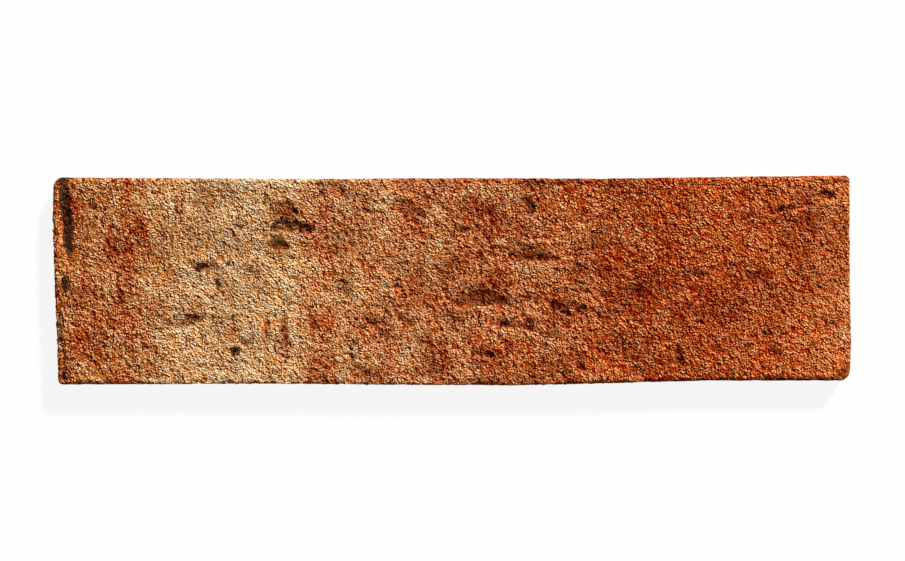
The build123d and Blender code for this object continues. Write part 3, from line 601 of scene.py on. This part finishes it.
def tile_grid(solid_tree, half_x, half_y, thickness):
    """Points of the face, the arris and the wall, how far inside the outline each is, and their faces."""
    across_x, across_y, starts, ways = band_columns(half_x, half_y)
    reach = np.array([
        solid_tree.ray_cast((*(start * MM), thickness * MM / 2), (*way, 0.0))[3] / MM
        for start, way in zip(starts, ways)
    ])
    rows, insets = band_rows(starts, ways, reach, thickness)
    grid_x, grid_y = np.meshgrid(across_x, across_y)
    inner = np.column_stack([grid_x.ravel(), grid_y.ravel(), np.full(grid_x.size, thickness)])
    columns = len(starts)
    points = np.concatenate([inner, *rows])
    inset = np.concatenate([np.full(len(inner), BAND), *insets])

    wide = len(across_x)
    low = (np.arange(len(across_y) - 1)[:, None] * wide + np.arange(wide - 1)).ravel()
    quads = [np.stack([low, low + 1, low + 1 + wide, low + wide], 1)]
    here = np.arange(columns)
    after = np.roll(here, -1)
    for row in range(len(rows) - 1):
        top = len(inner) + row * columns
        quads.append(np.stack([top + here, top + columns + here, top + columns + after, top + after], 1))

    # The band's first row lies on the rim of the inner grid, so points that share a place become one
    keys = np.round(points / SAME_PLACE).astype(np.int64)
    _, first, merged = np.unique(keys, axis=0, return_index=True, return_inverse=True)
    merged = merged.ravel()
    faces = [list(dict.fromkeys(quad)) for quad in merged[np.concatenate(quads)].tolist()]
    faces = [face for face in faces if len(face) > 2]
    bottom = merged[len(points) - columns:].tolist()
    points, inset = points[first], inset[first]
    scatter = np.random.default_rng(SCATTER_SEED).uniform(-SCATTER, SCATTER, (len(points), 2))
    points[:, :2] += scatter * (inset > 2 * ARRIS)[:, None]
    return points, inset, faces, bottom[::-1]


def settle_on_solid(points, solid_tree, thickness):
    """Lowers the face's points into the solid's folds, creases and bites, with ragged rims."""
    above = (thickness + SEARCH_START) * MM
    ragged = drifted(points, FOLD_DRIFT)
    for index in np.flatnonzero(points[:, 2] > thickness - ARRIS * FOLD_RIM):
        x, y = ragged[index] * MM
        hit = solid_tree.ray_cast((x, y, above), (0, 0, -1))[0]
        if hit:
            points[index, 2] = max(min(points[index, 2], hit.z / MM), thickness - ARRIS)


def relief_marks(points):
    """Height of the pits and strokes, the shade painted in them where they sink and the light painted on them
    where they rise as knobs and ribs.
    """
    bent = drifted(points, MARK_DRIFT)
    height = np.zeros(len(points))
    painted_mark_shading = np.zeros(len(points))
    for x0, y0, x1, y1, half_width, depth in [(x, y, x, y, *size) for x, y, *size in PITS] + STROKES:
        reach = (line_distance(bent, [(x0, y0), (x1, y1)]) / half_width) ** 2
        height -= depth * np.exp(-reach)
        # Shade painted in the pits and strokes, and light painted on the knobs and ribs
        painted_mark_shading -= depth * np.exp(-((PAINTED_SHADING_EDGE * reach) ** 2))
    broken = np.clip(BREAK_MIDDLE + clouds(points, MARK_BREAKS), 0.0, BREAK_MOST)
    return height * at_least(BREAK_LEAST, broken), painted_mark_shading * broken


def washes(points):
    """Strength of each colour wash at the points, torn at its rim."""
    bent = drifted(points, WASH_DRIFT)
    torn = clouds(points, TORN_RIMS)
    strengths = {}
    for name, marks in WASHES.items():
        total = np.zeros(len(points))
        for x, y, half_length, half_width, turn, strength in marks:
            reach = oval(bent, x, y, half_length, half_width, turn) + torn
            total = np.maximum(total, strength * smooth_step(*WASH_RIM, reach))
        strengths[name] = total
    for line, half_width, strength in SOOT_STREAKS:
        reach = line_distance(bent, line) / half_width + STREAK_TORN * torn
        strengths["soot"] = np.maximum(strengths["soot"], strength * smooth_step(*STREAK_RIM, reach))
    return strengths


def grain(points, roughness):
    """Height of the clay's own texture: soft undulation, lumps drawn out along the tile, and crumbs."""
    lumpy = along(points, LUMPY_ALONG)
    broad = clouds(points, UNDULATION) + lumpy * clouds(points, LUMPS)
    share, middle, period, shift = KNOTS
    fine = lumpy * clouds(points, SMALL_LUMPS) + clouds(points, CRUMBS)
    fine += share * (middle - cells(points, period, shift))
    return broad, fine * roughness


def raise_relief(mesh, points, lift, thickness):
    """Moves the mesh's points along their normals by the lift, without passing the solid's face."""
    normals = np.empty(len(points) * 3, np.float32)
    mesh.vertex_normals.foreach_get("vector", normals)
    normals = normals.reshape(-1, 3).astype(float)
    on_floor = points[:, 2] < SAME_HEIGHT
    normals[on_floor, 2] = 0.0
    height = -RELIEF_SOFTNESS * np.logaddexp(0.0, -lift / RELIEF_SOFTNESS)
    moved = points + normals * height[:, None]
    moved[:, 2] = np.where(on_floor, 0.0, np.clip(moved[:, 2], 0.0, thickness))
    mesh.vertices.foreach_set("co", (moved * MM).ravel())


def clay_layers(points, face_share, strengths, broad, fine, sunken, painted_mark_shading):
    """Values that colour the clay at the points, by name, with the shade and light painted on it."""
    wall = 1.0 - face_share
    # The unevenness is partly the undulation's height, so the tone is painted lighter on its high ground and
    # shade is painted in its dips
    uneven = clouds(points, UNEVEN) + BROAD_SHARE * broad
    painted_pit_shade = np.clip(-painted_mark_shading, 0.0, PIT_MOST)
    values = {
        **strengths,
        "wall": wall,
        "uneven": uneven,
        "flecks": clouds(points, FLECKS),
        "painted_knob_light": np.clip(painted_mark_shading, 0.0, KNOB_MOST),
        "painted_pit_shade": painted_pit_shade,
        "sunken": np.clip(sunken, 0.0, SUNKEN_MOST) ** SUNKEN_POWER,
        "painted_dip_shade": np.clip(DIP_START - uneven, 0.0, DIP_MOST) * face_share,
    }
    sand = along(points, SAND_ALONG)
    patches = clouds(points, SAND_PATCHES) + along(points, STREAKY_ALONG) * clouds(points, SAND_STREAKS)
    patches *= (PATCH_LEAST + PATCH_EVEN * sand * (1.0 - sand)) * at_least(WALL_PATCHES, face_share)
    return {
        "sand": np.clip(sand + patches + summed(SAND_SHARES, values), 0.0, 1.0),
        "soot": strengths["soot"],
        "smooth": np.maximum(strengths["smooth"], SMOOTH_WALL * wall),
        "relief": fine,
        "painted_pit_shade": painted_pit_shade,
        "painted_shade": np.clip(summed(SHADE_SHARES, values), 0.0, SHADE_MOST),
        "tone": along(points, TONE_ALONG) + summed(TONE_SHARES, values),
    }


def groove_blocks(solid, thickness):
    """Points and faces of the blocks that fill the solid's keying grooves."""
    corners = np.array([vertex.co for vertex in solid.data.vertices]) / MM
    back = corners[corners[:, 2] < thickness / 2]
    depth = back[:, 2].max()
    floor = back[back[:, 2] > depth - SAME_HEIGHT]
    left, right = (set(np.round(floor[side * floor[:, 0] > 0.0][:, 1], 2)) for side in (-1, 1))
    rims = sorted(left & right)
    ends = [corners[:, 0].min() - END_OVERRUN, corners[:, 0].max() + END_OVERRUN]
    inset = MOUTH_INSET / depth * (depth + BACK_OVERRUN)
    points, faces = [], []
    for low, high in zip(rims[::2], rims[1::2]):
        section = [(low + inset, -BACK_OVERRUN), (high - inset, -BACK_OVERRUN), (high, depth), (low, depth)]
        first = len(points)
        points += [(end, y, z) for end in ends for y, z in section]
        faces += [[first + 3, first + 2, first + 1, first], [first + 4, first + 5, first + 6, first + 7]]
        for corner in range(4):
            beside = (corner + 1) % 4
            faces.append([first + corner, first + beside, first + 4 + beside, first + 4 + corner])
    return np.array(points), faces


def cut_grooves(tile, solid, thickness):
    """Cuts the solid's keying grooves out of the tile's back."""
    points, faces = groove_blocks(solid, thickness)
    mesh = bpy.data.meshes.new("grooves")
    mesh.from_pydata(points * MM, [], faces)
    grooves = bpy.data.objects.new("grooves", mesh)
    bpy.context.collection.objects.link(grooves)
    cut = tile.modifiers.new("grooves", "BOOLEAN")
    cut.operation = "DIFFERENCE"
    cut.solver = "MANIFOLD"
    cut.object = grooves
    bpy.context.view_layer.update()
    shown = tile.evaluated_get(bpy.context.evaluated_depsgraph_get())
    tile.data = bpy.data.meshes.new_from_object(shown)
    tile.data.materials.clear()
    tile.modifiers.clear()
    bpy.data.objects.remove(grooves)


def build_tile():
    """The tile's dressed mesh, over the solid."""
    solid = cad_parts[NODE]
    low, high = (np.array(corner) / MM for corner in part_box(NODE))
    thickness = high[2]
    half_x, half_y = (high - low)[:2] / 2 - BAND
    bpy.context.view_layer.update()
    solid_tree = BVHTree.FromObject(solid, bpy.context.evaluated_depsgraph_get())
    points, inset, faces, bottom = tile_grid(solid_tree, half_x, half_y, thickness)
    face_share = smooth_step(*(thickness - depth for depth in FACE_RISE), points[:, 2])
    before = points[:, 2].copy()
    settle_on_solid(points, solid_tree, thickness)
    # How deep each point sank into a fold, for the shade painted there
    sunken = np.maximum(before - points[:, 2], 0.0) * smooth_step(*FOLD_FADE, inset)
    mesh = bpy.data.meshes.new(NODE)
    mesh.from_pydata(points * MM, [], faces + [bottom])

    wash_share = at_least(WALL_WASH, face_share)
    strengths = {name: wash * wash_share for name, wash in washes(points).items()}
    roughness = at_least(WALL_ROUGH, face_share) * (1.0 - SMOOTH_LEVELS * strengths["smooth"])
    broad, fine = grain(points, roughness)
    marks, painted_mark_shading = relief_marks(points)
    inside = smooth_step(*MARK_FADE, inset) * face_share
    lift = (broad + fine) * at_least(WALL_RELIEF, inside) + (marks - RELIEF_SINK) * inside
    lift += clouds(points, WALL_WAVES) * (1.0 - inside)
    raise_relief(mesh, points, lift, thickness)
    layers = clay_layers(points, face_share, strengths, broad, fine, sunken, painted_mark_shading)
    for name, values in layers.items():
        layer = mesh.attributes.new(name, "FLOAT", "POINT")
        layer.data.foreach_set("value", values.astype(np.float32))
    mesh.update()

    tile = bpy.data.objects.new("clinker_tile", mesh)
    bpy.context.collection.objects.link(tile)
    cut_grooves(tile, solid, thickness)
    tile.data.polygons.foreach_set("use_smooth", np.ones(len(tile.data.polygons), bool))
    return tile


def linear_light(level):
    """Linear light of a level from 0 to 1 as pictures store it."""
    return level / 12.92 if level < 0.04045 else ((level + 0.055) / 1.055) ** 2.4


class Graph:
    """Short ways to add and join the nodes of a material."""

    def __init__(self, name):
        self.material = bpy.data.materials.new(name)
        self.material.use_nodes = True
        self.tree = self.material.node_tree
        self.tree.nodes.clear()

    def node(self, kind, inputs=None, **settings):
        """A new node with its settings, its inputs joined to sockets or set to values."""
        made = self.tree.nodes.new(kind)
        for name, value in settings.items():
            setattr(made, name, value)
        for socket, value in (inputs or {}).items():
            if isinstance(value, bpy.types.NodeSocket):
                self.tree.links.new(value, made.inputs[socket])
            else:
                made.inputs[socket].default_value = value
        return made

    def math(self, operation, *values):
        """One sum done on some values."""
        return self.node("ShaderNodeMath", dict(enumerate(values)), operation=operation).outputs[0]

    def attribute(self, name):
        """One of the values that the mesh carries at its points."""
        return self.node("ShaderNodeAttribute", attribute_name=name).outputs["Fac"]

    def weighed(self, layers):
        """The sum of some values, each less its own middle and times its own share."""
        total = 0.0
        for value, middle, share in layers:
            total = self.math("MULTIPLY_ADD", self.math("SUBTRACT", value, middle), share, total)
        return total

    def rise(self, value, low, high):
        """0 below low, 1 above high and a soft rise between."""
        inputs = {"Value": value, "From Min": low, "From Max": high}
        return self.node("ShaderNodeMapRange", inputs, interpolation_type="SMOOTHSTEP").outputs["Result"]

    def noise_with_painted_light(self, place, scale, step):
        """Noise, and how much it falls over a step towards the light, which the material paints as light on
        the sides of grains that face the key and as shade on the others.
        """
        ahead = self.node("ShaderNodeVectorMath", {0: place, 1: (0.0, step, 0.0)}, operation="ADD").outputs[0]
        here, there = (
            self.node("ShaderNodeTexNoise", {"Vector": spot, "Scale": scale, "Detail": 0.5}).outputs["Fac"]
            for spot in (place, ahead)
        )
        return here, self.math("SUBTRACT", here, there)

    def ramp(self, factor, stops):
        """The colour that the stops give for a factor."""
        made = self.node("ShaderNodeValToRGB", {"Fac": factor})
        elements = made.color_ramp.elements
        while len(elements) < len(stops):
            elements.new(1.0)
        for element, (place, colour) in zip(elements, stops):
            element.position = place
            element.color = (*(linear_light(level / 255) for level in colour), 1.0)
        return made.outputs["Color"]

    def mix(self, factor, first, second, blend="MIX"):
        """One colour over another, by a factor. The node keeps its colours in sockets 6, 7 and 2."""
        inputs = {0: factor, 6: first, 7: second}
        return self.node("ShaderNodeMix", inputs, data_type="RGBA", blend_type=blend).outputs[2]


def clay_material():
    """Fired clay: a sand or rust coloured crust broken by dark pits and pale grains, with soot on it, and
    with light and shade painted on its grains, folds, pits, dips, walls and lower edge.
    """
    graph = Graph(SLOT)
    turned = graph.node("ShaderNodeMapping", {
        "Vector": graph.node("ShaderNodeTexCoord").outputs["Object"],
        "Rotation": (0.0, 0.0, math.radians(GRAIN_TURN)),
        "Scale": tuple(MM * stretch for stretch in GRAIN_STRETCH),
    }, vector_type="TEXTURE").outputs["Vector"]
    crumb, crumb_painted_light = graph.noise_with_painted_light(turned, *CRUMB_GRAIN)
    hole, hole_painted_light = graph.noise_with_painted_light(turned, *HOLE_GRAIN)
    lump, lump_painted_light = graph.noise_with_painted_light(turned, *LUMP_GRAIN)
    clumps = {"Vector": turned, "Scale": CLUMP_GRAIN, "Detail": 2.0}
    clump = graph.node("ShaderNodeTexNoise", clumps).outputs["Fac"]
    specks = graph.node("ShaderNodeTexVoronoi", {"Vector": turned, "Scale": SPECK_GRAIN}).outputs
    shade, tint, _ = graph.node("ShaderNodeSeparateColor", {"Color": specks["Color"]}).outputs
    smooth = graph.attribute("smooth")

    # The crust is broken by dark specks, partly pits and partly shadow painted on the grains' sides turned
    # from the light, and by highlights painted on the sides turned to it; its contrast comes and goes in
    # patches
    level = graph.weighed([
        (hole_painted_light, 0.0, 1.0), (lump_painted_light, 0.0, 0.6), (clump, 0.5, 0.5), (smooth, 0.0, 0.15),
        (graph.attribute("painted_pit_shade"), 0.0, -0.40),
    ])
    # The crust gives way to dark specks where the level is low: pits, and shadow painted on grains turned
    # from the light
    crust = graph.rise(level, -0.27, -0.11)
    painted_glint = graph.rise(crumb_painted_light, 0.17, 0.28)
    speckle_and_painted_light = graph.weighed([
        (shade, 0.5, 0.38), (crumb_painted_light, 0.0, 0.52), (lump_painted_light, 0.0, 0.26), (crust, 1.0, 0.46),
        (painted_glint, 0.0, 0.28),
    ])
    patch = graph.math("MAXIMUM", graph.weighed([(clump, 0.16, 3.0)]), 0.3)
    # The tone carries painted light and shade: the speckle lights and shades the grains' sides, and the
    # relief makes the grain's low spots darker and its tops lighter
    tone = graph.weighed([
        (graph.attribute("tone"), -MIDDLE_TONE, 1.0), (graph.math("MULTIPLY", speckle_and_painted_light, patch), 0.0, 1.0),
        (graph.attribute("relief"), 0.0, 0.15), (smooth, 0.0, -0.10),
    ])

    # Sand over rust, then soot, then the painted shade of the folds, pits, strokes, dips, walls and lower
    # edge
    sandy = graph.weighed([
        (graph.attribute("sand"), 0.0, 1.0), (tint, 0.5, 0.45), (hole, 0.5, 0.20), (lump, 0.5, 0.40),
    ])
    sooty = graph.weighed([(graph.attribute("soot"), 0.0, 1.0), (crumb, 0.5, 0.9), (hole, 0.5, 0.9)])
    colour = graph.mix(graph.rise(sandy, -0.1, 1.1), graph.ramp(tone, RUST), graph.ramp(tone, SAND))
    colour = graph.mix(graph.rise(sooty, 0.15, 1.00), colour, graph.ramp(tone, SOOT))
    colour = graph.mix(graph.attribute("painted_shade"), colour, SHADE, "MULTIPLY")

    height = graph.weighed([(crumb, 0.0, 0.9), (crust, 0.0, 0.4), (specks["Distance"], 0.0, -0.35)])
    strength = graph.weighed([(smooth, 1.0, -0.8), (clump, 0.34, 1.2)])
    bump = graph.node("ShaderNodeBump", {"Height": height, "Strength": strength, "Distance": BUMP_HEIGHT})
    matt = graph.node("ShaderNodeMapRange", {"Value": tone, "To Min": 0.98, "To Max": 0.80})
    surface = graph.node("ShaderNodeBsdfPrincipled", {
        "Base Color": colour,
        "Roughness": matt.outputs["Result"],
        "Normal": bump.outputs["Normal"],
        "Specular IOR Level": 0.05,
    })
    graph.node("ShaderNodeOutputMaterial", {"Surface": surface.outputs["BSDF"]})
    return graph.material


def seen_directly(graph):
    """1 for what is seen straight, in a reflection or through glass, 0 for light that falls on the tile."""
    path = graph.node("ShaderNodeLightPath").outputs
    either = graph.math("MAXIMUM", path["Is Camera Ray"], path["Is Glossy Ray"])
    return graph.math("MAXIMUM", either, path["Is Transmission Ray"])


def add_floor():
    """A white floor that keeps the tile's shadow."""
    graph = Graph("floor_white")
    plain = graph.node("ShaderNodeBsdfDiffuse", {"Color": (FLOOR_GREY, FLOOR_GREY, FLOOR_GREY, 1.0)})
    white = graph.node("ShaderNodeEmission", {"Color": (1.0, 1.0, 1.0, 1.0), "Strength": 1.0})
    share = graph.math("MULTIPLY", seen_directly(graph), FLOOR_WHITE)
    shown = graph.node("ShaderNodeMixShader", {0: share, 1: plain.outputs[0], 2: white.outputs[0]})
    graph.node("ShaderNodeOutputMaterial", {"Surface": shown.outputs[0]})
    mesh = bpy.data.meshes.new("floor")
    corners = [(-1, -1), (1, -1), (1, 1), (-1, 1)]
    mesh.from_pydata([(x * FLOOR_REACH, y * FLOOR_REACH, 0) for x, y in corners], [], [[0, 1, 2, 3]])
    mesh.materials.append(graph.material)
    floor = bpy.data.objects.new("floor", mesh)
    bpy.context.collection.objects.link(floor)


def add_light():
    """One soft key from the upper right and an even fill from all round."""
    turn, rise = math.radians(KEY_TURN), math.radians(KEY_RISE)
    lamp = bpy.data.lights.new("key", "SUN")
    lamp.energy = KEY_SHARE * math.pi / math.sin(rise)
    lamp.angle = math.radians(KEY_SOFTNESS)
    key = bpy.data.objects.new("key", lamp)
    key.rotation_euler = (math.pi / 2 - rise, 0.0, turn + math.pi / 2)
    bpy.context.collection.objects.link(key)

    world = bpy.data.worlds.new("studio")
    world.use_nodes = True
    bpy.context.scene.world = world
    nodes, links = world.node_tree.nodes, world.node_tree.links
    background = nodes["Background"]
    background.inputs["Color"].default_value = (1.0, 1.0, 1.0, 1.0)
    path = nodes.new("ShaderNodeLightPath")
    level = nodes.new("ShaderNodeMapRange")
    level.inputs["To Min"].default_value = 1.0 - KEY_SHARE
    level.inputs["To Max"].default_value = 1.0
    links.new(path.outputs["Is Camera Ray"], level.inputs["Value"])
    links.new(level.outputs["Result"], background.inputs["Strength"])


def add_camera():
    """Straight above the tile, which fills the photograph's share of the frame."""
    low, high = cad_box
    lens = bpy.data.cameras.new("camera")
    lens.lens = LENS
    shown_width = (high.x - low.x) * FRAME_WIDTH / TILE_WIDTH
    aside = (FRAME_WIDTH / 2 - TILE_MIDDLE) * shown_width / FRAME_WIDTH
    middle_x, middle_y = (low.x + high.x) / 2, (low.y + high.y) / 2
    distance = shown_width * LENS / lens.sensor_width
    camera = bpy.data.objects.new("camera", lens)
    camera.location = (middle_x + aside, middle_y, high.z + distance)
    bpy.context.collection.objects.link(camera)
    bpy.context.scene.camera = camera


tile = build_tile()
tile.data.materials.append(clay_material())
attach(tile, "root")
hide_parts(NODE)
add_floor()
add_light()
add_camera()
bpy.context.scene.view_settings.view_transform = "Standard"
